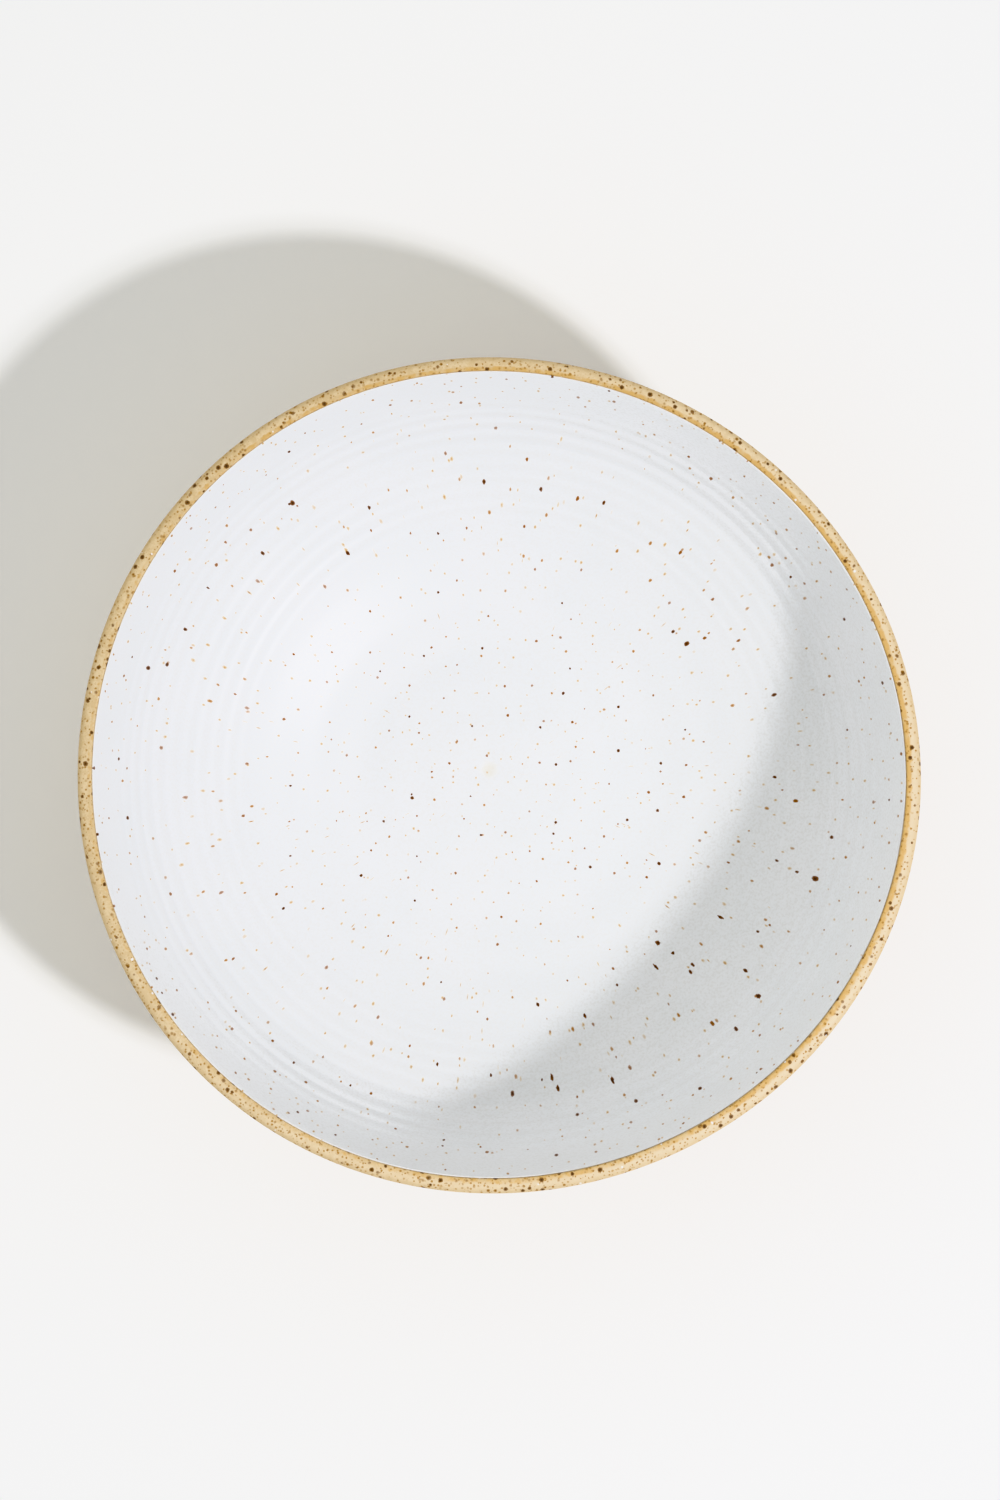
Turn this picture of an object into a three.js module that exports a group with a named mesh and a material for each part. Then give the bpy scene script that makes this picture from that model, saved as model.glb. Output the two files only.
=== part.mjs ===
// A hand-thrown stoneware salad bowl: one fired clay body and the glaze that lines its inside.
// Millimetres, +Z up. The origin is the centre of the foot ring, on the table.

import * as THREE from "three";

// Rim and wall
const RIM_DIAMETER = 280; // outside, at the widest of the lip, between the long and the short diameter
const RIM_HEIGHT = 100; // table to the top of the lip
const OUT_OF_ROUND = 2.6; // the rim's long diameter less its short one
const LONG_DIAMETER_TURN = -11.5; // degrees from +X to the long diameter
const LIP_THICKNESS = 5.2; // wall at the lip, which is rounded over
const LIP_LEAN = 78; // degrees between the table and the wall at the lip

// Floor, and the curve from it up to the lip
const FLOOR_THICKNESS = 5; // the wall is as thick as this where it leaves the floor
const FLAT_FLOOR_DIAMETER = 84; // level middle of the floor
const TURN_INSET = 27.5; // from the rim's outside in to where the floor's slow rise turns up into the wall
const TURN_HEIGHT = 39; // table to that turn, on the inside
const TURN_SLOPE = 40; // degrees between the table and the inside at that turn

// Foot ring, turned from the same clay
const FOOT_DIAMETER = 116;
const FOOT_RING_WIDTH = 8;
const FOOT_HEIGHT = 4; // also the depth of the recess inside the ring
const FOOT_BEVEL = 1; // on both lower edges of the ring
const FOOT_FILLET = 3; // where the ring meets the wall

// Glaze lining
const GLAZE_THICKNESS = 0.6;
const GLAZE_BED = 0.05; // clearance between the glaze and the clay under it
const BARE_SHOULDER = 1; // clay left bare between the glaze and the lip's rounding, along the wall

// Fineness of the solids
const SIDES = 64;
const WALL_STEPS = 18;
const FILLET_STEPS = 3;
const LIP_STEP = 30; // degrees
const SEARCH_STEPS = 40;

// Sizes that follow
const footRadius = FOOT_DIAMETER / 2;
const recessRadius = footRadius - FOOT_RING_WIDTH;
const flatRadius = FLAT_FLOOR_DIAMETER / 2;
const floorHeight = FOOT_HEIGHT + FLOOR_THICKNESS;
const lipRadius = LIP_THICKNESS / 2;
const lipCentre = new THREE.Vector2((RIM_DIAMETER - LIP_THICKNESS) / 2, RIM_HEIGHT - lipRadius);
const lipLean = THREE.MathUtils.degToRad(LIP_LEAN);
const upTheWall = new THREE.Vector2(Math.cos(lipLean), Math.sin(lipLean));
const shoulder = lipCentre.clone().addScaledVector(inwards(upTheWall), lipRadius);

// Inside of the clay in section, from the edge of the level floor by way of the turn to the lip's shoulder
const floorEdge = new THREE.Vector2(flatRadius, floorHeight);
const turn = new THREE.Vector2(RIM_DIAMETER / 2 - TURN_INSET, TURN_HEIGHT);
const turnSlope = THREE.MathUtils.degToRad(TURN_SLOPE);
const alongTheTurn = new THREE.Vector2(Math.cos(turnSlope), Math.sin(turnSlope));
const floorCorner = crossing(floorEdge, new THREE.Vector2(1, 0), turn, alongTheTurn);
const wallCorner = crossing(turn, alongTheTurn, shoulder, upTheWall);
const insideCurve = new THREE.CurvePath();
insideCurve.add(new THREE.QuadraticBezierCurve(floorEdge, floorCorner, turn));
insideCurve.add(new THREE.QuadraticBezierCurve(turn, wallCorner, shoulder));
const glazeEdge = 1 - BARE_SHOULDER / insideCurve.getLength();

// Where a line from one point meets a line from another
function crossing(first, firstWay, second, secondWay) {
  const between = second.clone().sub(first);
  const reach = between.cross(secondWay) / firstWay.cross(secondWay);
  return first.clone().addScaledVector(firstWay, reach);
}

// The direction square to a wall line that runs outwards and up: towards the food
function inwards(along) {
  return new THREE.Vector2(-along.y, along.x);
}

// A point of the inside curve, moved square to it: towards the food where distance is positive
function besideInside(share, distance) {
  const normal = inwards(insideCurve.getTangentAt(share));
  return insideCurve.getPointAt(share).addScaledVector(normal, distance);
}

// A point of the outside, where the wall goes from the floor's thickness to the lip's
function outside(share) {
  return besideInside(share, -THREE.MathUtils.lerp(FLOOR_THICKNESS, LIP_THICKNESS, share));
}

// The share along the wall at which its outside has a given radius
function shareAtRadius(radius) {
  let low = 0;
  let high = 1;
  for (let i = 0; i < SEARCH_STEPS; i += 1) {
    const middle = (low + high) / 2;
    if (outside(middle).x < radius) {
      low = middle;
    } else {
      high = middle;
    }
  }
  return high;
}

// Evenly spaced shares from one to another, both included
function shares(from, to) {
  return Array.from({ length: WALL_STEPS + 1 }, (_, i) => THREE.MathUtils.lerp(from, to, i / WALL_STEPS));
}

// Section of the foot ring, from the recess's ceiling round to the start of the outside wall
function footLine() {
  const ringTop = outside(shareAtRadius(footRadius)).y;
  const filletDrop = Math.min(FOOT_FILLET, ringTop - FOOT_BEVEL);
  const fillet = new THREE.QuadraticBezierCurve(
    new THREE.Vector2(footRadius, ringTop - filletDrop),
    new THREE.Vector2(footRadius, ringTop),
    outside(shareAtRadius(footRadius + FOOT_FILLET)),
  );
  return [
    new THREE.Vector2(recessRadius, FOOT_HEIGHT),
    new THREE.Vector2(recessRadius, FOOT_BEVEL),
    new THREE.Vector2(recessRadius + FOOT_BEVEL, 0),
    new THREE.Vector2(footRadius - FOOT_BEVEL, 0),
    new THREE.Vector2(footRadius, FOOT_BEVEL),
    ...fillet.getPoints(FILLET_STEPS).slice(0, -1),
  ];
}

// Section of the rounded lip between the outside and the inside of the wall
function lipLine() {
  const points = [];
  for (let angle = 0; angle < LIP_LEAN + 90; angle += LIP_STEP) {
    const around = THREE.MathUtils.degToRad(angle);
    const reach = new THREE.Vector2(Math.cos(around), Math.sin(around));
    points.push(lipCentre.clone().addScaledVector(reach, lipRadius));
  }
  return points;
}

// Section of the clay: under the floor, round the foot, up the outside, over the lip and down the inside,
// where it has the same points as the glaze
function clayLine() {
  const wallStart = shareAtRadius(footRadius + FOOT_FILLET);
  return [
    new THREE.Vector2(0, FOOT_HEIGHT),
    ...footLine(),
    ...shares(wallStart, 1).map(outside),
    ...lipLine(),
    ...[1, ...shares(glazeEdge, 0)].map((share) => besideInside(share, 0)),
    new THREE.Vector2(0, floorHeight),
  ];
}

// Section of the glaze: out along the clay to a round edge under the lip, and back along the food side
function glazeLine() {
  const foodSide = GLAZE_BED + GLAZE_THICKNESS;
  const nose = besideInside(glazeEdge, GLAZE_BED + GLAZE_THICKNESS / 2);
  nose.addScaledVector(insideCurve.getTangentAt(glazeEdge), GLAZE_THICKNESS / 2);
  return [
    new THREE.Vector2(0, floorHeight + GLAZE_BED),
    ...shares(0, glazeEdge).map((share) => besideInside(share, GLAZE_BED)),
    nose,
    ...shares(glazeEdge, 0).map((share) => besideInside(share, foodSide)),
    new THREE.Vector2(0, floorHeight + foodSide),
  ];
}

// Leaves the foot true and draws the wall out along the long diameter, most at the rim, as drying does
function drawOut(geometry) {
  const places = geometry.getAttribute("position");
  const longTurn = THREE.MathUtils.degToRad(LONG_DIAMETER_TURN);
  const rimStretch = OUT_OF_ROUND / (2 * RIM_DIAMETER);
  const place = new THREE.Vector3();
  for (let i = 0; i < places.count; i += 1) {
    place.fromBufferAttribute(places, i);
    const bearing = Math.atan2(place.y, place.x) - longTurn;
    const stretch = 1 + rimStretch * (place.z / RIM_HEIGHT) * Math.cos(2 * bearing);
    places.setXYZ(i, place.x * stretch, place.y * stretch, place.z);
  }
}

// A piece spun on the wheel from its section
function thrown(name, section, material) {
  const geometry = new THREE.LatheGeometry(section, SIDES);
  geometry.rotateX(Math.PI / 2);
  drawOut(geometry);
  const mesh = new THREE.Mesh(geometry, material);
  mesh.name = name;
  return mesh;
}

const bareClay = new THREE.MeshStandardMaterial({ color: 0xdebe82, roughness: 0.85, metalness: 0 });
const whiteGlaze = new THREE.MeshStandardMaterial({ color: 0xeceef1, roughness: 0.5, metalness: 0 });

const bowl = new THREE.Group();
bowl.add(thrown("stoneware_body", clayLine(), bareClay));
bowl.add(thrown("glaze_lining", glazeLine(), whiteGlaze));

export default bowl;
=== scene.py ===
"""A hand-thrown stoneware salad bowl: white satin glaze inside, bare speckled clay outside and on the lip.

Metres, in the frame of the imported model: +Z up, the origin at the centre of the foot ring, on the table.
A section is a line of (radius, height) points. A bearing is an angle about +Z from +X.
"""

import math
from dataclasses import dataclass
from itertools import accumulate

import bmesh
import bpy
import numpy
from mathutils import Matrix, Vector, noise


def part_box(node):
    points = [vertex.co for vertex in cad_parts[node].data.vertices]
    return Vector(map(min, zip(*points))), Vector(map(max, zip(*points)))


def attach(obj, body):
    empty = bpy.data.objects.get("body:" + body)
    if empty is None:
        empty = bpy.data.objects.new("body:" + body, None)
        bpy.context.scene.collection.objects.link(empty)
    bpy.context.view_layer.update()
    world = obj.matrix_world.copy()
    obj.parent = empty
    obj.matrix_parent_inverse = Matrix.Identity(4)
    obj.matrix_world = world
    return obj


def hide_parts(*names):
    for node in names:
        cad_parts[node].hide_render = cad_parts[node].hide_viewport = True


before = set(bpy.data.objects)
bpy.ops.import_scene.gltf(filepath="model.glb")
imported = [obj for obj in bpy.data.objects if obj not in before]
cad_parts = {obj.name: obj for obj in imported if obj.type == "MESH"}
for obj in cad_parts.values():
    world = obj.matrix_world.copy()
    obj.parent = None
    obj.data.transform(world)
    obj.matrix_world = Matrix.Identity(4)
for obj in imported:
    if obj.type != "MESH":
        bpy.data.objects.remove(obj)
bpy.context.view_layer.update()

MM = 0.001
clay_low, clay_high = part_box("stoneware_body")

# Rim and wall
RIM_RADIUS = (clay_high.x - clay_low.x + clay_high.y - clay_low.y) / 4
RIM_HEIGHT = clay_high.z
OUT_OF_ROUND = 2.6 * MM  # the rim's long diameter less its short one
LONG_DIAMETER_TURN = math.radians(-11.5)
LOBE_REACH = 0.69 * MM  # how far the rim stands out at each of three slight lobes
LOBE_TURN = math.radians(-6)
LIP_THICKNESS = 5.2 * MM
LIP_LEAN = math.radians(78)

# Floor, and the curve from it up to the lip
FLOOR_THICKNESS = 5 * MM
FLAT_FLOOR_RADIUS = 42 * MM
TURN_INSET = 27.5 * MM  # from the rim in to where the floor's slow rise turns up into the wall
TURN_HEIGHT = 39 * MM
TURN_SLOPE = math.radians(40)

# Lip, fuller on its outer side than on its inner shoulder
CREST_FROM_INSIDE = 1.0 * MM
SHOULDER_DROP = 0.8 * MM
SHOULDER_FULLNESS = 2.4
BROW_DROP = 2.6 * MM
BROW_FULLNESS = 2.4
LIP_WAVE = 0.22 * MM  # how far the lip wanders up and down
LIP_WAVE_START = 0.6  # share of the height at which the wandering begins
LIP_WAVES = 1.1  # how quickly it wanders round the bowl
LIP_WAVE_DROP = 0.5  # keeps it from rising past the full height
LIP_WAVE_SEED = 7.7
THICK_SIDE = Vector((0.05, -0.28)) * MM  # how far the lip's outside is shifted, which thickens one side

# Foot ring and the recess inside it
FOOT_RADIUS = 58 * MM
FOOT_RING_WIDTH = 8 * MM
FOOT_HEIGHT = 4 * MM
FOOT_ROUND = 1.2 * MM
FOOT_FILLET = 3 * MM
RECESS_ROUND = 1.4 * MM

# Glaze
GLAZE_THICKNESS = 0.6 * MM
GLAZE_BITE = 0.04 * MM  # how far the glaze has sunk into the clay
GLAZE_TAPER = 0.03  # share of the inside curve over which the glaze thins towards its edge
GLAZE_EDGE_THICKNESS = 0.42 * MM
GLAZE_EDGE_WAVE = 0.25 * MM  # how far the glaze's edge wanders up and down
GLAZE_EDGE_BAND = 3 * MM  # how far below the edge the wandering begins
GLAZE_EDGE_WAVES = 7
GLAZE_EDGE_DROP = 0.6
GLAZE_EDGE_SEED = 1.7
GLAZE_RISE = 0.9 * MM  # how far the glaze climbs past the top of the wall, onto the lip

# Fineness of the meshes
SIDES = 192
GLAZE_STEPS = 210
GLAZE_UNDER_STEPS = 24
FLOOR_STEPS = 42
WALL_STEPS = 170
HIDDEN_STEPS = 40
RECESS_STEPS = 80
LIP_STEPS = 18
ROUND_STEPS = 7
WELD = 0.002 * MM

# Throwing rings under the glaze: closed rings up the wall, and one slow spiral across the floor
RING_PITCH_RADII = [radius * MM for radius in (108, 114, 118)]
RING_PITCHES = [pitch * MM for pitch in (5.8, 6.9, 8.1)]
RING_RADII = [radius * MM for radius in (86, 94, 108, 116, 122, 126, 130)]
RING_DEPTHS = [depth * MM for depth in (0, 0.12, 0.12, 0.19, 0.24, 0.15, 0)]
FIRST_RING_RADIUS = 92 * MM
FIRST_RING_TURN = 0.25
RING_STRENGTH = 0.8
RING_SIDE_STRENGTH = 0.3  # how much weaker or stronger the rings are on one side
FAINT_RING_BEARING = math.radians(-45)  # the side where the rings are faintest
RING_UNEVENNESS = 0.5
RING_WAVES = 1.5
RING_DRIFT = 0.8
RING_EDGE = 0.25  # how much sharper one flank of a ring is than the other
RING_EDGE_TURN = 0.8
THIN_TURN = 0.35  # where on each ring the glaze is thinnest, as a share of a ring
THIN_SHARPNESS = 3
UNDER_LIP_SHADE_BEARING = math.radians(255)  # the side where painted shade darkens the glaze under the lip
UNDER_LIP_SHADE_RADII = (125 * MM, 133 * MM)
FACING_UP = 0.1  # least rise of a normal that counts as facing up
SPIRAL_PITCH = 19 * MM
SPIRAL_RADII = [radius * MM for radius in (8, 24, 80, 94)]
SPIRAL_DEPTHS = [depth * MM for depth in (0, 0.10, 0.15, 0)]
SPIRAL_UNEVENNESS = 0.7
SPIRAL_WAVES = 1.2
SPIRAL_DRIFT = 25 * MM
MIDDLE = Vector((-2.9 * MM, 1.3 * MM))  # where the thrower opened the clay, a little off the foot's centre
MIDDLE_WIDTH = 6 * MM
MIDDLE_DEPTH = 0.3 * MM

# Marks on the outside, by the reach up the wall from the foot: throwing rings above, turning lines below
OUTER_RING_PITCH = 8.2 * MM
OUTER_RING_DEPTH = 0.15 * MM
OUTER_RING_START = (36 * MM, 62 * MM)
OUTER_RING_END = (2 * MM, 12 * MM)  # measured down from the lip
OUTER_RING_STRENGTH = 0.8
OUTER_RING_UNEVENNESS = 0.6
OUTER_RING_WAVES = 1.4
OUTER_RING_DRIFT = 9 * MM
TURNING_PITCH = 2.3 * MM
TURNING_DEPTH = 0.05 * MM
TURNING_START = (1 * MM, 4 * MM)
TURNING_END = (58 * MM, 44 * MM)
TURNING_STRENGTH = 0.7
TURNING_UNEVENNESS = 0.6
TURNING_WAVES = 2.2

# Marks in the recess: turning lines round a small button in the middle
RECESS_DEPTH_MARGIN = 1 * MM
RECESS_LINE_PITCH = 2.6 * MM
RECESS_LINE_DEPTH = 0.07 * MM
RECESS_LINE_START = (4 * MM, 8 * MM)
BUTTON_HEIGHT = 0.5 * MM
BUTTON_EDGE = (4.5 * MM, 2 * MM)

# How the glaze's pattern is drawn out where it ran down the wall while it was molten
LEAST_SPREAD = 0.45
STILL_SLOPE = math.radians(5)
RUNNING_SLOPE = math.radians(40)
RUN_RADIUS = 105 * MM
RUN_STRETCH = 3.5

# What the kiln did to the lip, and a painted sheen on its side towards the lamp
FIRED_BAND = 14 * MM  # how far down from the crest the lip's colours reach
FULLY_FIRED_BAND = 4 * MM
FLASH_WIDTH = 1.64 * MM
FLASH_WIDENING = 0.24 * MM
WIDE_FLASH_BEARING = math.radians(-15)
FLASH_STRENGTH = 0.505
FLASH_SIDE_STRENGTH = 0.09
FLASH_BEARING = math.radians(25)  # the side where the flash is strongest
# Painted sheen: the lip's outer part is made paler on the side towards the lamp
SHEEN_BEARING = math.radians(-35)
SHEEN_START = 0.5  # where the painted sheen begins and is full, in widths of the flash
SHEEN_FULL = 1.5
TOAST_STRENGTH = 0.85
SHEEN_SIDE_TOAST_LOSS = 0.3  # how much weaker the toast is on the side towards the lamp, which is painted light like the paleness there
BROW_START = 2.8 * MM

# Satin glaze. A raggedness is the size of the lumps that push a spot's edge about, and how far they do.
GLAZE_DETAIL = 3.0
GLAZE_CLOUD_SIZE = 30 * MM
GLAZE_CLOUD_RAMP = (0.35, 0.65)
GLAZE_GRAIN_SIZE = 0.9 * MM
GLAZE_GRAIN_RAMP = (0.4, 0.7)
GLAZE_GRAIN_STRENGTH = 0.3
GLAZE_GRAIN_RELIEF = 0.35
GLAZE_GRAIN_ROUGHNESS = 0.08
GLAZE_ROUGHNESS = 0.42
GLAZE_SPECULAR = 0.2
GLAZE_COAT_IOR = 1.62  # of the glassy coat, which is missing where there is iron
GLAZE_BUMP = 0.06 * MM
# how far thin glaze over the rings and the painted shade under the lip darken the glaze
THIN_AND_SHADE_STRENGTH = 0.22
STAIN_RAGGEDNESS = (3 * MM, 3 * MM)
STAIN_REACH = 0.7 * MIDDLE_WIDTH
STAIN_STRENGTH = 0.7
SPECK_RAGGEDNESS = (0.6 * MM, 0.5 * MM)
RUN_RAGGEDNESS = (0.6 * MM, 0.3 * MM)
SPOT_RAGGEDNESS = (0.9 * MM, 1.1 * MM)
IRON_RELIEF = 0.5
IRON_ROUGHNESS = 0.15

# How specks and spots fade outwards, from nothing to full, in shares of their own reach
SPECK_EDGE = (1.1, 0.8)
SPECK_HEART_EDGE = (0.75, 0.3)
SPOT_EDGE = (1.0, 0.75)
SPOT_HEART_EDGE = (0.65, 0.35)
LEAST_SPECK = 0.5  # the narrowest speck of a kind, as a share of its widest
NOISE_MIDDLE = 0.5

# Bare clay
CLAY_DETAIL = 4.0
CLAY_CLOUD_SIZE = 18 * MM
CLAY_MOTTLE_SIZE = 2.2 * MM
CLAY_GRAIN_SIZE = 0.6 * MM
CLOUD_SHARE = 0.3  # of cloud, mottle and grain in what makes the clay lighter
MOTTLE_SHARE = 0.4
GRAIN_SHARE = 0.3
CLAY_LIGHT_RAMP = (0.42, 0.58)
# how far the painted sheen pales the lip
SHEEN_COVER = 0.6
TOAST_COVER = 0.8
FLASH_COVER = 0.9
FLASH_MOTTLE = 0.7
FLASH_RAMP = (0.38, 0.6)
MOTTLE_RELIEF = 0.5
SPECK_RELIEF = 0.4
CLAY_ROUGHNESS = 0.52
CLAY_GRAIN_ROUGHNESS = 0.2
SPECK_ROUGHNESS = 0.2
CLAY_BUMP = 0.15 * MM

# Camera, straight above the bowl, and the picture that it takes
PICTURE_WIDTH = 1000
PICTURE_HEIGHT = 1500
RIM_PIXELS = 841.3
RIM_CENTRE_PIXEL = (497.2, 775.2)
CAMERA_ABOVE_RIM = 1.6
SENSOR_WIDTH = 36.0  # in millimetres, as a camera counts it
SIGHT_STEPS = 4  # how often a sight line's end is corrected for the height of the glaze there

# Light
KEY_BEARING = math.radians(-34.5)
KEY_RISE = math.radians(53)
KEY_DISTANCE = 1.88
KEY_WIDTH = 0.17
KEY_POWER = 27.9
KEY_TINT = (1.0, 0.995, 1.045)
SKY_STRENGTH = 0.62
SKY_TINT = (0.99, 0.995, 0.965)
BRIGHT_SIDE_BEARING = math.radians(146)
BRIGHT_SIDE_GAIN = 0.56  # how much stronger the sky is on its bright side than overhead
TABLE_WIDTH = 8.0
TABLE_TINT = (0.985, 0.988, 0.982)
TABLE_ROUGHNESS = 0.9


def lerp(first, second, share):
    return first + (second - first) * share


def spaced(first, last, steps):
    """Evenly spaced numbers, both ends included."""
    return [lerp(first, last, i / steps) for i in range(steps + 1)]


def smooth(value, low, high):
    """0 at low, 1 at high, and an easy rise between them."""
    share = min(max((value - low) / (high - low), 0), 1)
    return share * share * (3 - 2 * share)


def arc(centre, radius, start, end):
    """Points round a centre, between two angles in degrees."""
    turns = [math.radians(angle) for angle in spaced(start, end, ROUND_STEPS)]
    return [centre + Vector((math.cos(turn), math.sin(turn))) * radius for turn in turns]


def bend(first, corner, last, share):
    """A point of a curve from first to last that a corner draws out."""
    return first * (1 - share) ** 2 + corner * (2 * share * (1 - share)) + last * share**2


def rounded(first, corner, last):
    """Points of a rounded corner."""
    return [bend(first, corner, last, share) for share in spaced(0, 1, ROUND_STEPS)]


def crossing(first, first_way, second, second_way):
    """Where a line from one point meets a line from another."""
    reach = (second - first).cross(second_way) / first_way.cross(second_way)
    return first + first_way * reach


def lengths_along(points):
    """How far along a line each of its points lies."""
    return [0.0, *accumulate((second - first).length for first, second in zip(points, points[1:]))]


# Inside of the clay, from the edge of the level floor by way of the turn to the lip's shoulder
level = Vector((1, 0))
up_the_turn = Vector((math.cos(TURN_SLOPE), math.sin(TURN_SLOPE)))
up_the_wall = Vector((math.cos(LIP_LEAN), math.sin(LIP_LEAN)))
floor_edge = Vector((FLAT_FLOOR_RADIUS, FOOT_HEIGHT + FLOOR_THICKNESS))
turn = Vector((RIM_RADIUS - TURN_INSET, TURN_HEIGHT))
lip_centre = Vector((RIM_RADIUS - LIP_THICKNESS / 2, RIM_HEIGHT - LIP_THICKNESS / 2))
shoulder = lip_centre + Vector((-up_the_wall.y, up_the_wall.x)) * (LIP_THICKNESS / 2)
floor_rise = (floor_edge, crossing(floor_edge, level, turn, up_the_turn), turn)
wall_rise = (turn, crossing(turn, up_the_turn, shoulder, up_the_wall), shoulder)

# Share of the inside curve at which the glaze ends, past 1 because it climbs onto the lip. At its end the
# curve runs 4 times as far as its last leg is long for each unit of share.
glaze_edge = 1 + GLAZE_RISE / (4 * (shoulder - wall_rise[1]).length)


def inside(share, lift=0.0):
    """A point of the inside curve, lifted off the clay towards the food. The turn is at a half."""
    rise = floor_rise if share < 0.5 else wall_rise
    along = 2 * share if share < 0.5 else 2 * share - 1
    first, corner, last = rise
    way = lerp(corner - first, last - corner, along)
    return bend(first, corner, last, along) + Vector((-way.y, way.x)).normalized() * lift


def outside(share):
    """A point of the outside, where the wall goes from the floor's thickness to the lip's."""
    return inside(share, -lerp(FLOOR_THICKNESS, LIP_THICKNESS, share))


def food_side():
    """The food side of the glaze, from the middle of the floor to its edge under the lip."""
    wall = []
    for share in spaced(0, glaze_edge, GLAZE_STEPS):
        thinning = smooth(share, glaze_edge - GLAZE_TAPER, glaze_edge)
        wall.append(inside(share, lerp(GLAZE_THICKNESS, GLAZE_EDGE_THICKNESS, thinning)))
    floor = [Vector((radius, wall[0].y)) for radius in spaced(0, FLAT_FLOOR_RADIUS, FLOOR_STEPS)]
    return floor[:-1] + wall


def glaze_section():
    """The glaze, out along the clay to its edge under the lip and back along the food side."""
    under = [inside(share, -GLAZE_BITE) for share in spaced(0, glaze_edge, GLAZE_UNDER_STEPS)]
    food = food_side()
    brow = (under[-1] + food[-1]) / 2 + up_the_wall * GLAZE_EDGE_THICKNESS
    nose = rounded(under[-1], brow, food[-1])
    return [Vector((0, under[0].y))] + under[:-1] + nose + food[-2::-1]


def lip_side(reach, drop, fullness):
    """Half of the lip, from its side up to its crest, measured from the crest."""
    points = []
    for angle in spaced(0, math.pi / 2, LIP_STEPS):
        across = reach * abs(math.cos(angle)) ** (2 / fullness)
        points.append(Vector((across, drop * (math.sin(angle) ** (2 / fullness) - 1))))
    return points


def lip_section():
    """The lip from the outside wall over its crest to its inner shoulder."""
    crest = Vector((RIM_RADIUS - LIP_THICKNESS + CREST_FROM_INSIDE, RIM_HEIGHT))
    wall_top = shoulder + up_the_wall * ((crest.y - SHOULDER_DROP - shoulder.y) / up_the_wall.y)
    brow = lip_side(RIM_RADIUS - crest.x, BROW_DROP, BROW_FULLNESS)
    inner = lip_side(wall_top.x - crest.x, SHOULDER_DROP, SHOULDER_FULLNESS)
    return [crest + point for point in brow + inner[-2::-1]]


def foot_section():
    """The recess under the floor and the foot ring round it."""
    recess = FOOT_RADIUS - FOOT_RING_WIDTH
    ceiling = recess - RECESS_ROUND
    line = [Vector((radius, FOOT_HEIGHT)) for radius in spaced(0, ceiling, RECESS_STEPS)]
    line += arc(Vector((ceiling, FOOT_HEIGHT - RECESS_ROUND)), RECESS_ROUND, 90, 0)[1:]
    line += arc(Vector((recess + FOOT_ROUND, FOOT_ROUND)), FOOT_ROUND, 180, 270)
    line += arc(Vector((FOOT_RADIUS - FOOT_ROUND, FOOT_ROUND)), FOOT_ROUND, 270, 360)
    return line


def outside_wall():
    """The outside from the end of the fillet on the foot ring up to the lip."""
    wall = [outside(share) for share in spaced(0, 1, WALL_STEPS)]
    return [point for point in wall if point.x > FOOT_RADIUS + FOOT_FILLET]


def clay_section():
    """The whole clay body, from the axis under the floor round to the axis on top of it."""
    wall = outside_wall()
    ring_top = Vector((FOOT_RADIUS, wall[0].y))
    fillet = rounded(Vector((FOOT_RADIUS, max(ring_top.y - FOOT_FILLET, FOOT_ROUND))), ring_top, wall[0])
    hidden = [inside(share) for share in spaced(1, 0, HIDDEN_STEPS)]
    return foot_section() + fillet[1:-1] + wall + lip_section() + hidden + [Vector((0, floor_edge.y))]


def spun(section):
    """A mesh spun round the wheel's axis from a section that starts and ends on it."""
    mesh = bmesh.new()
    line = [mesh.verts.new((point.x, 0, point.y)) for point in section]
    edges = [mesh.edges.new(pair) for pair in zip(line, line[1:])]
    bmesh.ops.spin(
        mesh, geom=line + edges, cent=(0, 0, 0), axis=(0, 0, 1), dvec=(0, 0, 0),
        angle=math.tau, steps=SIDES, use_merge=True,
    )
    bmesh.ops.remove_doubles(mesh, verts=mesh.verts, dist=WELD)
    bmesh.ops.recalc_face_normals(mesh, faces=mesh.faces)
    return mesh


def wander(bearing, waves, seed):
    """Smooth noise round the bowl, from -1 to 1, that closes on itself."""
    return noise.noise(Vector((math.cos(bearing) * waves, math.sin(bearing) * waves, seed)))


def facing(angle, centre):
    """1 at the centre's angle, 0 half a turn away."""
    return 0.5 + 0.5 * math.cos(angle - centre)


def polar(vert):
    """The radius and the bearing of a vertex."""
    return math.hypot(vert.co.x, vert.co.y), math.atan2(vert.co.y, vert.co.x)


def press(mesh, relief):
    """Moves each vertex along its normal by what relief gives for it."""
    mesh.normal_update()
    for vert in mesh.verts:
        vert.co += vert.normal * relief(vert)


def draw_out(mesh):
    """Draws the wall out along the long diameter and at three lobes, most at the rim, as drying does."""
    for vert in mesh.verts:
        bearing = polar(vert)[1]
        oval = OUT_OF_ROUND / 4 * math.cos(2 * (bearing - LONG_DIAMETER_TURN))
        lobes = LOBE_REACH * math.cos(3 * (bearing - LOBE_TURN))
        stretch = 1 + (oval + lobes) / RIM_RADIUS * vert.co.z / RIM_HEIGHT
        vert.co.x *= stretch
        vert.co.y *= stretch


def thicken_lip(mesh):
    """Shifts the outside of the lip a little, so that the lip is thicker on one side."""
    for vert in mesh.verts:
        share = smooth(polar(vert)[0], RIM_RADIUS - LIP_THICKNESS, RIM_RADIUS)
        vert.co.xy += THICK_SIDE * share


def wave_lip(mesh):
    """Lets the lip wander up and down a little, as a lip drawn up by hand does."""
    for vert in mesh.verts:
        share = smooth(vert.co.z, RIM_HEIGHT * LIP_WAVE_START, RIM_HEIGHT)
        wave = wander(polar(vert)[1], LIP_WAVES, LIP_WAVE_SEED) - LIP_WAVE_DROP
        vert.co.z += LIP_WAVE * share * wave


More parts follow.
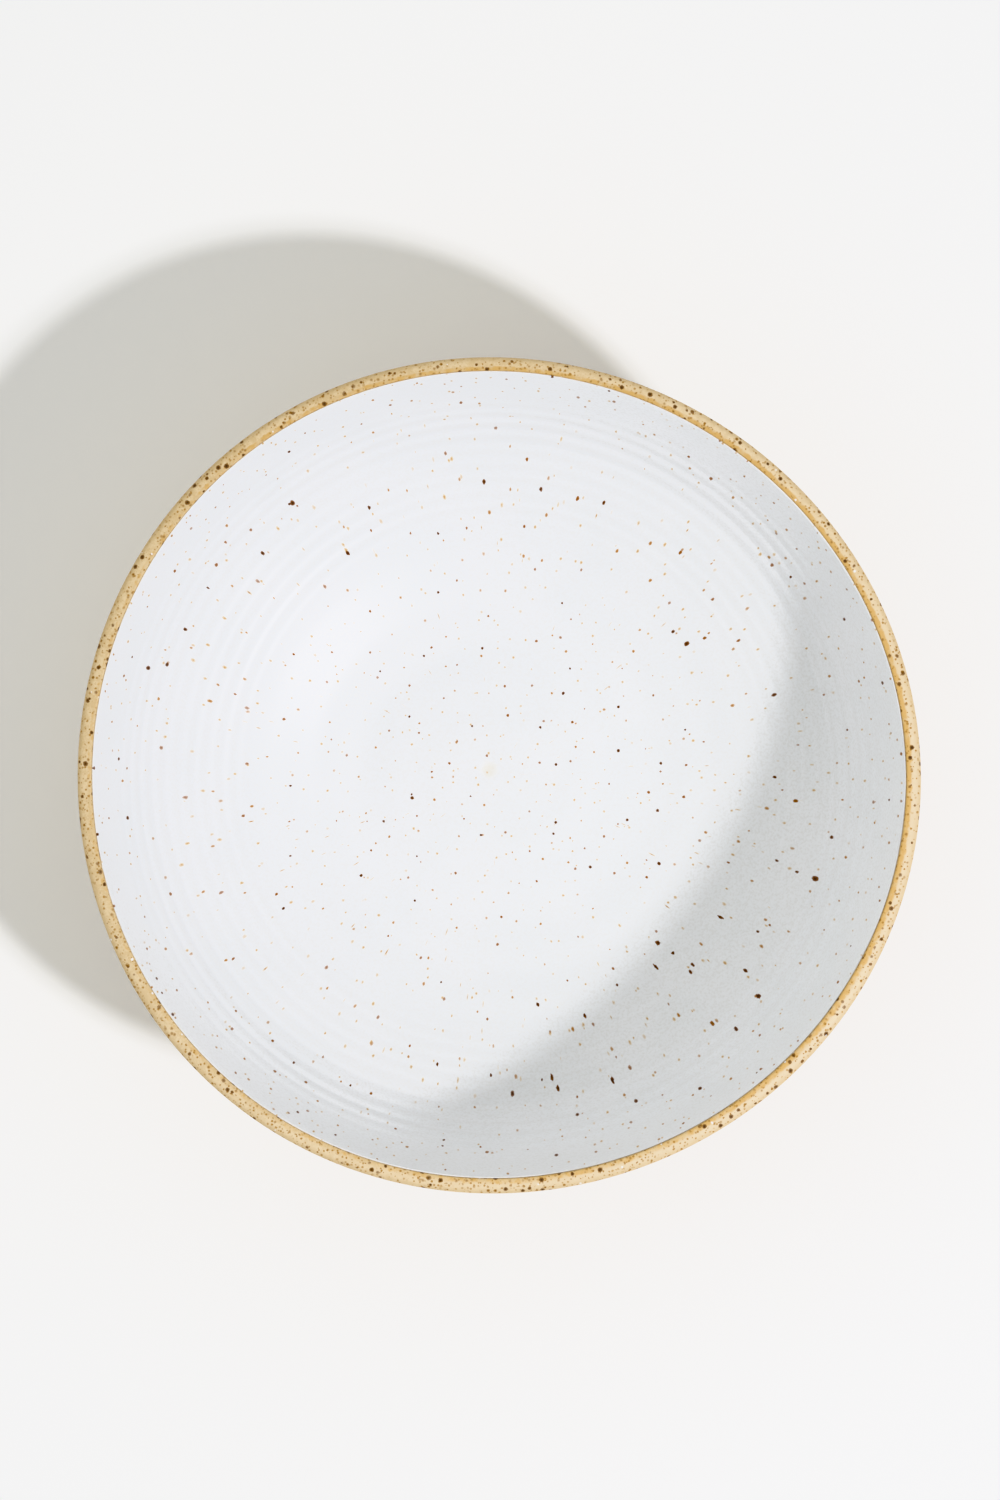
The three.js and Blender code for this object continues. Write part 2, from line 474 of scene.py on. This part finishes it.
def wave_glaze_edge(mesh):
    """Lets the glaze stop a little higher and lower round the bowl."""
    edge_height = inside(glaze_edge).y
    for vert in mesh.verts:
        share = smooth(vert.co.z, edge_height - GLAZE_EDGE_BAND, edge_height)
        wave = wander(polar(vert)[1], GLAZE_EDGE_WAVES, GLAZE_EDGE_SEED) - GLAZE_EDGE_DROP
        vert.co.z += GLAZE_EDGE_WAVE * share * wave


def glaze_relief(mesh):
    """A relief of throwing rings for the food side. Writes where the glaze thins over them, and a painted
    shade under the lip on one side.
    """
    thin_glaze_and_shade = mesh.verts.layers.float.new("thin_glaze_and_shade")
    food = food_side()
    radii = [point.x for point in food]
    reaches = lengths_along(food)
    pitches = numpy.interp(radii, RING_PITCH_RADII, RING_PITCHES)
    turns = [0.0, *accumulate(numpy.diff(reaches) / pitches[1:])]
    first_turn = FIRST_RING_TURN - numpy.interp(FIRST_RING_RADIUS, radii, turns)

    def relief(vert):
        if vert.normal.z < FACING_UP:
            return 0
        radius, bearing = polar(vert)
        count = numpy.interp(radius, radii, turns) + first_turn
        unevenness = 1 + RING_UNEVENNESS * wander(bearing, RING_WAVES, count * RING_DRIFT)
        strength = numpy.interp(radius, RING_RADII, RING_DEPTHS) * unevenness
        strength *= RING_STRENGTH - RING_SIDE_STRENGTH * math.cos(bearing - FAINT_RING_BEARING)
        flank = RING_EDGE * math.cos(2 * math.tau * count + RING_EDGE_TURN)
        rings = strength * (math.cos(math.tau * count) + flank)
        groove = facing(math.tau * (count - THIN_TURN), 0) ** THIN_SHARPNESS
        # Painted shade under the lip on one side, darkening the glaze there
        edge = smooth(radius, *UNDER_LIP_SHADE_RADII) * facing(bearing, UNDER_LIP_SHADE_BEARING)
        vert[thin_glaze_and_shade] = strength / max(RING_DEPTHS) * groove + edge
        sweep = numpy.interp(radius, radii, reaches) / SPIRAL_PITCH - bearing / math.tau
        spiral = math.cos(math.tau * sweep) * numpy.interp(radius, SPIRAL_RADII, SPIRAL_DEPTHS)
        spiral *= 1 + SPIRAL_UNEVENNESS * wander(bearing, SPIRAL_WAVES, radius / SPIRAL_DRIFT)
        off_middle = (vert.co.xy - MIDDLE).length / (MIDDLE_WIDTH / 2)
        return -rings - spiral - MIDDLE_DEPTH * math.exp(-(off_middle**2))

    return relief


def clay_relief():
    """Throwing rings high on the outside, and turning lines near the foot and in the recess."""
    wall = outside_wall()
    heights = [point.y for point in wall]
    reaches = lengths_along(wall)
    ceiling = FOOT_RADIUS - FOOT_RING_WIDTH - RECESS_ROUND

    def relief(vert):
        radius, bearing = polar(vert)
        turn_share = bearing / math.tau
        if radius < ceiling and vert.co.z < FOOT_HEIGHT + RECESS_DEPTH_MARGIN:
            button = BUTTON_HEIGHT * smooth(radius, *BUTTON_EDGE)
            lines = math.cos(math.tau * (radius / RECESS_LINE_PITCH + turn_share))
            return RECESS_LINE_DEPTH * lines * smooth(radius, *RECESS_LINE_START) + button
        if vert.normal.z > FACING_UP or vert.co.z < heights[0] or vert.co.z > heights[-1]:
            return 0
        reach = numpy.interp(vert.co.z, heights, reaches)
        thrown = smooth(reach, *OUTER_RING_START) * smooth(reaches[-1] - reach, *OUTER_RING_END)
        turned = smooth(reach, *TURNING_START) * smooth(reach, *TURNING_END)
        rings = math.cos(math.tau * (reach / OUTER_RING_PITCH - turn_share))
        wave = wander(bearing, OUTER_RING_WAVES, reach / OUTER_RING_DRIFT)
        rings *= OUTER_RING_STRENGTH + OUTER_RING_UNEVENNESS * wave
        lines = math.cos(math.tau * (reach / TURNING_PITCH + turn_share))
        wave = wander(bearing, TURNING_WAVES, reach / TURNING_PITCH)
        lines *= TURNING_STRENGTH + TURNING_UNEVENNESS * wave
        return OUTER_RING_DEPTH * rings * thrown + TURNING_DEPTH * lines * turned

    return relief


def unrolled_radii():
    """For radii of the food side, their distance from the middle on the glaze laid flat."""
    food = food_side()
    spreads = [0.0]
    for first, second in zip(food, food[1:]):
        step = second - first
        running = smooth(math.atan2(step.y, step.x), STILL_SLOPE, RUNNING_SLOPE)
        spreads.append(spreads[-1] + step.length * lerp(1, LEAST_SPREAD, running))
    return [point.x for point in food], spreads


def unrolled(place, radii, spreads):
    """A place of the bowl seen from above, on the glaze laid flat."""
    return place.normalized() * numpy.interp(place.length, radii, spreads)


def mark_unrolled(mesh):
    """Writes where each vertex comes to lie on the glaze laid flat."""
    layer = mesh.verts.layers.float_vector.new("unrolled")
    radii, spreads = unrolled_radii()
    for vert in mesh.verts:
        vert[layer] = unrolled(vert.co.xy, radii, spreads).to_3d()


def mark_runs(mesh):
    """Writes each vertex's place on a drum, squeezed along the wall, so that spots there run down it."""
    layer = mesh.verts.layers.float_vector.new("runs")
    food = food_side()
    radii = [point.x for point in food]
    reaches = lengths_along(food)
    for vert in mesh.verts:
        radius, bearing = polar(vert)
        along = numpy.interp(radius, radii, reaches) / RUN_STRETCH
        vert[layer] = (RUN_RADIUS * math.cos(bearing), RUN_RADIUS * math.sin(bearing), along)


def mark_firing(mesh):
    """Writes what the kiln did to the lip, orange flash by the glaze and toast on the brow, and a painted
    sheen that pales the side towards the lamp and weakens the toast there.
    """
    layer = mesh.verts.layers.float_color.new("firing_and_sheen")
    inner_edge = RIM_RADIUS - LIP_THICKNESS
    for vert in mesh.verts:
        radius, bearing = polar(vert)
        across = radius - inner_edge
        lip = smooth(vert.co.z, RIM_HEIGHT - FIRED_BAND, RIM_HEIGHT - FULLY_FIRED_BAND)
        width = FLASH_WIDTH + FLASH_WIDENING * math.cos(bearing - WIDE_FLASH_BEARING)
        strongest = FLASH_STRENGTH + FLASH_SIDE_STRENGTH * math.cos(bearing - FLASH_BEARING)
        flash = min(max(1 - across / (2 * width), 0), strongest)
        # Painted sheen, strongest on the side towards the lamp; it also weakens the toast there
        sheen_side = facing(bearing, SHEEN_BEARING)
        pale = sheen_side * smooth(across, SHEEN_START * width, SHEEN_FULL * width)
        toast = smooth(across, BROW_START, LIP_THICKNESS) * (TOAST_STRENGTH - SHEEN_SIDE_TOAST_LOSS * sheen_side)
        vert[layer] = (flash * lip, toast * lip, pale, lip)


class Value:
    """A number that varies over a surface. Arithmetic on it adds Math nodes."""

    def __init__(self, finish, socket):
        self.finish = finish
        self.socket = socket

    def math(self, operation, first, second):
        made = self.finish.node("ShaderNodeMath", {"operation": operation}, {0: first, 1: second})
        return Value(self.finish, made.outputs[0])

    def __add__(self, other):
        return self.math("ADD", self, other)

    def __radd__(self, other):
        return self.math("ADD", other, self)

    def __sub__(self, other):
        return self.math("SUBTRACT", self, other)

    def __rsub__(self, other):
        return self.math("SUBTRACT", other, self)

    def __mul__(self, other):
        return self.math("MULTIPLY", self, other)

    def __rmul__(self, other):
        return self.math("MULTIPLY", other, self)

    def __lt__(self, other):
        return self.math("LESS_THAN", self, other)

    def least(self, other):
        return self.math("MINIMUM", self, other)


class Nodes:
    """The nodes of a material or of the sky."""

    def __init__(self, owner):
        owner.use_nodes = True
        self.tree = owner.node_tree
        self.tree.nodes.clear()

    def node(self, kind, settings, sockets):
        """Adds a node: its settings first, then the values or links of its sockets."""
        made = self.tree.nodes.new(kind)
        for name, setting in settings.items():
            setattr(made, name, setting)
        for name, given in sockets.items():
            if isinstance(given, Value):
                given = given.socket
            if isinstance(given, bpy.types.NodeSocket):
                self.tree.links.new(given, made.inputs[name])
            else:
                made.inputs[name].default_value = given
        return made

    def vector(self, operation, sockets):
        return self.node("ShaderNodeVectorMath", {"operation": operation}, sockets).outputs


class Finish(Nodes):
    """A material whose pattern follows the piece's own coordinates."""

    def __init__(self, name):
        self.material = bpy.data.materials.new(name)
        super().__init__(self.material)
        self.place = self.node("ShaderNodeTexCoord", {}, {}).outputs["Object"]

    def attribute(self, name):
        """What a piece's vertices carry under a name."""
        return self.node("ShaderNodeAttribute", {"attribute_name": name}, {}).outputs

    def noise(self, size, detail=2.0):
        """Soft noise with lumps of about a size."""
        sockets = {"Vector": self.place, "Scale": 1 / size, "Detail": detail}
        return Value(self, self.node("ShaderNodeTexNoise", {}, sockets).outputs[0])

    def ramp(self, value, low, high, start=0.0, end=1.0):
        """A smooth step from start at low to end at high."""
        sockets = {"Value": value, "From Min": low, "From Max": high, "To Min": start, "To Max": end}
        made = self.node("ShaderNodeMapRange", {"interpolation_type": "SMOOTHSTEP"}, sockets)
        return Value(self, made.outputs[0])

    def blend(self, share, first, second):
        """A colour between two, by a share."""
        made = self.node("ShaderNodeMix", {"data_type": "RGBA"}, {0: share, 6: first, 7: second})
        return made.outputs[2]

    def ragged(self, place, size, reach):
        """Places pushed about by noise, so that round spots on them come out ragged."""
        push = self.node("ShaderNodeTexNoise", {}, {"Vector": place, "Scale": 1 / size}).outputs[1]
        centred = self.vector("SUBTRACT", {0: push, 1: (NOISE_MIDDLE, NOISE_MIDDLE, NOISE_MIDDLE)})[0]
        scaled = self.vector("SCALE", {0: centred, "Scale": reach})[0]
        return self.vector("ADD", {0: place, 1: scaled})[0]

    def bump(self, height, depth):
        """A normal that shades a relief of a depth."""
        sockets = {"Strength": 1.0, "Distance": depth, "Height": height}
        return self.node("ShaderNodeBump", {}, sockets).outputs[0]

    def surface(self, sockets):
        """Ends the material in one shader."""
        shader = self.node("ShaderNodeBsdfPrincipled", {}, sockets)
        self.node("ShaderNodeOutputMaterial", {}, {"Surface": shader.outputs[0]})
        return self.material


def colour(red, green, blue):
    return (red, green, blue, 1.0)


@dataclass
class Specks:
    """One kind of speck, scattered over cells that hold one speck or none."""

    apart: float  # the cells' width
    width: float  # of the widest speck
    share: float  # of the cells that hold one
    strength: float  # how far the weakest of them covers what it lies on
    rim: tuple
    heart: tuple
    seed: float


def scatter(finish, place, tint, kind, dimensions):
    """Lays one kind of speck over a tint: the new tint, and how far each place is inside a speck."""
    moved = finish.vector("ADD", {0: place, 1: (kind.seed, kind.seed, kind.seed)})[0]
    sockets = {"Vector": moved, "Scale": 1 / kind.apart}
    cells = finish.node("ShaderNodeTexVoronoi", {"voronoi_dimensions": dimensions}, sockets).outputs
    chances = finish.node("ShaderNodeSeparateColor", {}, {0: cells["Color"]}).outputs
    present, size, tone = [Value(finish, socket) for socket in chances]
    distance = Value(finish, cells["Distance"]) * kind.apart
    reach = (LEAST_SPECK + (1 - LEAST_SPECK) * size) * (kind.width / 2)
    cover = (present < kind.share) * (kind.strength + (1 - kind.strength) * tone)
    speck = finish.ramp(distance, *[reach * share for share in SPECK_EDGE]) * cover
    heart = finish.ramp(distance, *[reach * share for share in SPECK_HEART_EDGE]) * cover
    tint = finish.blend(speck, tint, kind.rim)
    return finish.blend(heart, tint, kind.heart), speck


GLAZE_WHITE = colour(0.835, 0.845, 0.86)
GLAZE_COOL = colour(0.81, 0.825, 0.84)
# The colour of glaze gone thin, also used for the painted shade under the lip
GLAZE_THIN_AND_SHADE = colour(0.62, 0.60, 0.56)
MIDDLE_STAIN = colour(0.73, 0.69, 0.58)
IRON_BLACK = colour(0.055, 0.016, 0.003)
IRON_BROWN = colour(0.21, 0.075, 0.01)
IRON_RUST = colour(0.36, 0.15, 0.03)
IRON_TAN = colour(0.53, 0.325, 0.145)
IRON_HAZE = colour(0.72, 0.59, 0.40)

GLAZE_SPECKS = (
    Specks(7.6 * MM, 1.1 * MM, 0.7, 0.2, IRON_HAZE, IRON_TAN, 0.11),
    Specks(8.2 * MM, 1.0 * MM, 0.7, 0.5, IRON_HAZE, IRON_TAN, 0.23),
    Specks(10.4 * MM, 1.1 * MM, 0.7, 0.5, IRON_TAN, IRON_RUST, 0.31),
    Specks(13.5 * MM, 1.2 * MM, 0.7, 0.6, IRON_RUST, IRON_BROWN, 0.37),
    Specks(21.0 * MM, 1.3 * MM, 0.7, 0.9, IRON_BROWN, IRON_BLACK, 0.43),
    Specks(40.0 * MM, 1.7 * MM, 0.4, 0.9, IRON_BROWN, IRON_BLACK, 0.59),
)
RUN_SPECKS = Specks(3.7 * MM, 0.9 * MM, 0.5, 0.3, IRON_HAZE, IRON_RUST, 0.47)

# The iron spots that draw the eye: the pixel where each lies, its length down the wall and its width
IRON_SPOTS = (
    ((658, 943), 2.4 * MM, 1.7 * MM),
    ((720, 917), 2.3 * MM, 1.0 * MM),
    ((656, 967), 3.0 * MM, 1.0 * MM),
    ((673, 953), 1.4 * MM, 1.2 * MM),
    ((758, 996), 1.8 * MM, 1.5 * MM),
    ((736, 1029), 1.8 * MM, 1.3 * MM),
    ((552, 1078), 2.9 * MM, 1.1 * MM),
    ((558, 1089), 2.8 * MM, 1.0 * MM),
    ((613, 1081), 3.2 * MM, 1.0 * MM),
    ((585, 1016), 2.1 * MM, 0.95 * MM),
    ((538, 1005), 1.5 * MM, 1.1 * MM),
)


def camera_place():
    """Where the camera is, straight above the middle of the picture."""
    pixel = 2 * RIM_RADIUS / RIM_PIXELS
    across = (PICTURE_WIDTH / 2 - RIM_CENTRE_PIXEL[0]) * pixel
    up = (RIM_CENTRE_PIXEL[1] - PICTURE_HEIGHT / 2) * pixel
    return Vector((across, up, RIM_HEIGHT + CAMERA_ABOVE_RIM))


def seen_at(pixel):
    """The place on the glaze, seen from above, that the camera sees at a pixel."""
    food = food_side()
    radii = [point.x for point in food]
    heights = [point.y for point in food]
    eye = camera_place()
    off_centre = Vector((pixel[0] - PICTURE_WIDTH / 2, PICTURE_HEIGHT / 2 - pixel[1]))
    slope = off_centre * (2 * RIM_RADIUS / RIM_PIXELS / CAMERA_ABOVE_RIM)
    height = RIM_HEIGHT
    for _ in range(SIGHT_STEPS):
        place = eye.xy + slope * (eye.z - height)
        height = numpy.interp(place.length, radii, heights)
    return place


def iron_spots(glaze, place):
    """How far each place is from the nearest large iron spot, as a share of that spot's reach."""
    radii, spreads = unrolled_radii()
    nearest = None
    for pixel, length, width in IRON_SPOTS:
        seen = seen_at(pixel)
        centre = unrolled(seen, radii, spreads)
        seen_end = seen + seen.normalized() * (length / 2)
        half_length = (unrolled(seen_end, radii, spreads) - centre).length
        sockets = {
            "Vector": place,
            "Location": centre.to_3d(),
            "Rotation": (0, 0, math.atan2(centre.y, centre.x)),
            "Scale": (half_length, width / 2, 1),
        }
        local = glaze.node("ShaderNodeMapping", {"vector_type": "TEXTURE"}, sockets).outputs[0]
        away = Value(glaze, glaze.vector("LENGTH", {0: local})["Value"])
        nearest = away if nearest is None else nearest.least(away)
    return nearest


def satin_glaze():
    """White satin glaze that iron in the clay has burnt through in specks."""
    glaze = Finish("satin_white_glaze")
    laid_flat = glaze.attribute("unrolled")["Vector"]
    ragged = glaze.ragged(laid_flat, *SPECK_RAGGEDNESS)
    cloud = glaze.noise(GLAZE_CLOUD_SIZE, GLAZE_DETAIL)
    grain = glaze.noise(GLAZE_GRAIN_SIZE, GLAZE_DETAIL)
    tint = glaze.blend(glaze.ramp(cloud, *GLAZE_CLOUD_RAMP), GLAZE_WHITE, GLAZE_COOL)
    tint = glaze.blend(glaze.ramp(grain, *GLAZE_GRAIN_RAMP, 0, GLAZE_GRAIN_STRENGTH), tint, GLAZE_THIN_AND_SHADE)
    # Thin glaze over the rings, and painted shade under the lip on one side
    thin_glaze_and_shade = Value(glaze, glaze.attribute("thin_glaze_and_shade")["Fac"])
    tint = glaze.blend(THIN_AND_SHADE_STRENGTH * thin_glaze_and_shade, tint, GLAZE_THIN_AND_SHADE)
    torn = glaze.ragged(laid_flat, *STAIN_RAGGEDNESS)
    off_middle = Value(glaze, glaze.vector("DISTANCE", {0: torn, 1: MIDDLE.to_3d()})["Value"])
    tint = glaze.blend(glaze.ramp(off_middle, STAIN_REACH, 0, 0, STAIN_STRENGTH), tint, MIDDLE_STAIN)
    raised = 0.0
    for kind in GLAZE_SPECKS:
        tint, speck = scatter(glaze, ragged, tint, kind, "2D")
        raised = speck + raised
    runs = glaze.ragged(glaze.attribute("runs")["Vector"], *RUN_RAGGEDNESS)
    tint, speck = scatter(glaze, runs, tint, RUN_SPECKS, "3D")
    raised = speck + raised
    off_spot = iron_spots(glaze, glaze.ragged(laid_flat, *SPOT_RAGGEDNESS))
    spot = glaze.ramp(off_spot, *SPOT_EDGE)
    tint = glaze.blend(spot, tint, IRON_BROWN)
    tint = glaze.blend(glaze.ramp(off_spot, *SPOT_HEART_EDGE), tint, IRON_BLACK)
    roughness = GLAZE_ROUGHNESS + GLAZE_GRAIN_ROUGHNESS * (grain - NOISE_MIDDLE) + IRON_ROUGHNESS * raised
    return glaze.surface({
        "Base Color": tint,
        "Roughness": roughness,
        "Specular IOR Level": GLAZE_SPECULAR,
        "Coat Weight": 1 - (raised + spot).least(1),
        "Coat Roughness": GLAZE_ROUGHNESS,
        "Coat IOR": GLAZE_COAT_IOR,
        "Normal": glaze.bump(GLAZE_GRAIN_RELIEF * grain + IRON_RELIEF * raised, GLAZE_BUMP),
    })


CLAY_STONE = colour(0.56, 0.445, 0.29)
CLAY_SAND = colour(0.64, 0.53, 0.37)
CLAY_BUFF = colour(0.60, 0.44, 0.225)
CLAY_PALE = colour(0.69, 0.54, 0.32)
# Colour of the painted sheen on the lip's side towards the lamp
CLAY_PAINTED_SHEEN = colour(0.77, 0.66, 0.48)
CLAY_TOAST = colour(0.53, 0.37, 0.165)
CLAY_FLASH = colour(0.575, 0.35, 0.10)
CLAY_IRON = colour(0.06, 0.026, 0.005)
CLAY_UMBER = colour(0.20, 0.09, 0.015)
CLAY_RUST = colour(0.40, 0.215, 0.045)
CLAY_GRIT = colour(0.90, 0.89, 0.87)

CLAY_SPECKS = (
    Specks(1.2 * MM, 0.95 * MM, 0.85, 0.15, CLAY_RUST, CLAY_RUST, 0.29),
    Specks(1.8 * MM, 1.3 * MM, 0.75, 0.4, CLAY_RUST, CLAY_UMBER, 0.41),
    Specks(3.0 * MM, 1.9 * MM, 0.75, 0.7, CLAY_UMBER, CLAY_IRON, 0.53),
    Specks(3.4 * MM, 1.0 * MM, 0.3, 0.6, CLAY_GRIT, CLAY_GRIT, 0.17),
)


def bare_clay():
    """Buff stoneware with iron specks, rust freckles and pale grit, flashed orange beside the glaze, with
    a painted sheen on the lip's side towards the lamp.
    """
    clay = Finish("bare_buff_stoneware")
    cloud = clay.noise(CLAY_CLOUD_SIZE, CLAY_DETAIL)
    mottle = clay.noise(CLAY_MOTTLE_SIZE, CLAY_DETAIL)
    grain = clay.noise(CLAY_GRAIN_SIZE, CLAY_DETAIL)
    uneven = CLOUD_SHARE * cloud + MOTTLE_SHARE * mottle + GRAIN_SHARE * grain
    light = clay.ramp(uneven, *CLAY_LIGHT_RAMP)
    firing_and_sheen = clay.attribute("firing_and_sheen")
    marks = clay.node("ShaderNodeSeparateColor", {}, {0: firing_and_sheen["Color"]}).outputs
    flash, toast, pale = [Value(clay, socket) for socket in marks]
    wall = clay.blend(light, CLAY_STONE, CLAY_SAND)
    lip = clay.blend(light, CLAY_BUFF, CLAY_PALE)
    # Painted sheen: paler clay on the lip's side towards the lamp
    lip = clay.blend(SHEEN_COVER * pale, lip, CLAY_PAINTED_SHEEN)
    lip = clay.blend(TOAST_COVER * toast, lip, CLAY_TOAST)
    licked = flash + FLASH_MOTTLE * (mottle - NOISE_MIDDLE)
    lip = clay.blend(clay.ramp(licked, *FLASH_RAMP, 0, FLASH_COVER), lip, CLAY_FLASH)
    tint = clay.blend(firing_and_sheen["Alpha"], wall, lip)
    ragged = clay.ragged(clay.place, *SPECK_RAGGEDNESS)
    sunk = 0.0
    for kind in CLAY_SPECKS:
        tint, speck = scatter(clay, ragged, tint, kind, "3D")
        sunk = speck + sunk
    roughness = CLAY_ROUGHNESS + CLAY_GRAIN_ROUGHNESS * (grain - NOISE_MIDDLE) + SPECK_ROUGHNESS * sunk
    return clay.surface({
        "Base Color": tint,
        "Roughness": roughness,
        "Normal": clay.bump(grain + MOTTLE_RELIEF * mottle - SPECK_RELIEF * sunk, CLAY_BUMP),
    })


def finished(name, mesh, node, material):
    """Makes a piece of a mesh, which stands for a node of the frame."""
    data = bpy.data.meshes.new(name)
    mesh.to_mesh(data)
    mesh.free()
    data.shade_smooth()
    data.materials.append(material)
    piece = bpy.data.objects.new(name, data)
    bpy.context.scene.collection.objects.link(piece)
    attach(piece, "root")
    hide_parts(node)


def clay_body():
    """The fired clay: floor, wall, lip and foot ring in one."""
    mesh = spun(clay_section())
    mark_firing(mesh)
    press(mesh, clay_relief())
    thicken_lip(mesh)
    wave_lip(mesh)
    draw_out(mesh)
    finished("thrown_clay_body", mesh, "stoneware_body", bare_clay())


def glaze_lining():
    """The glaze that lines the inside and stops under the lip."""
    mesh = spun(glaze_section())
    mark_unrolled(mesh)
    mark_runs(mesh)
    press(mesh, glaze_relief(mesh))
    wave_glaze_edge(mesh)
    wave_lip(mesh)
    draw_out(mesh)
    finished("white_glaze_lining", mesh, "glaze_lining", satin_glaze())


def camera():
    """A camera that looks straight down, framed as the picture is."""
    data = bpy.data.cameras.new("overhead_camera")
    data.sensor_width = SENSOR_WIDTH
    picture_reach = PICTURE_HEIGHT * 2 * RIM_RADIUS / RIM_PIXELS
    data.lens = SENSOR_WIDTH * CAMERA_ABOVE_RIM / picture_reach
    made = bpy.data.objects.new("overhead_camera", data)
    made.location = camera_place()
    bpy.context.scene.collection.objects.link(made)
    bpy.context.scene.camera = made


def table():
    """A plain pale table top."""
    mesh = bmesh.new()
    bmesh.ops.create_grid(mesh, x_segments=1, y_segments=1, size=TABLE_WIDTH / 2)
    data = bpy.data.meshes.new("table_top")
    mesh.to_mesh(data)
    mesh.free()
    sockets = {"Base Color": colour(*TABLE_TINT), "Roughness": TABLE_ROUGHNESS}
    data.materials.append(Finish("pale_table").surface(sockets))
    made = bpy.data.objects.new("table_top", data)
    bpy.context.scene.collection.objects.link(made)


def studio():
    """A soft key lamp on one side, and light from all round that is stronger on the other side."""
    data = bpy.data.lights.new("key_lamp", "AREA")
    data.shape = "DISK"
    data.size = KEY_WIDTH
    data.energy = KEY_POWER
    data.color = KEY_TINT
    lamp = bpy.data.objects.new("key_lamp", data)
    towards = Vector((
        math.cos(KEY_RISE) * math.cos(KEY_BEARING),
        math.cos(KEY_RISE) * math.sin(KEY_BEARING),
        math.sin(KEY_RISE),
    ))
    lamp.location = towards * KEY_DISTANCE
    lamp.rotation_euler = towards.to_track_quat("Z", "Y").to_euler()
    bpy.context.scene.collection.objects.link(lamp)
    bpy.context.scene.world = bpy.data.worlds.new("soft_room")
    sky = Nodes(bpy.context.scene.world)
    outwards = sky.node("ShaderNodeTexCoord", {}, {}).outputs["Generated"]
    bright_side = Vector((math.cos(BRIGHT_SIDE_BEARING), math.sin(BRIGHT_SIDE_BEARING), 0))
    sides = {0: outwards, 1: bright_side * BRIGHT_SIDE_GAIN}
    gain = Value(sky, sky.vector("DOT_PRODUCT", sides)["Value"])
    sockets = {"Color": colour(*SKY_TINT), "Strength": SKY_STRENGTH + gain}
    background = sky.node("ShaderNodeBackground", {}, sockets)
    sky.node("ShaderNodeOutputWorld", {}, {"Surface": background.outputs[0]})
    bpy.context.scene.view_settings.view_transform = "Khronos PBR Neutral"


camera()
table()
studio()
clay_body()
glaze_lining()
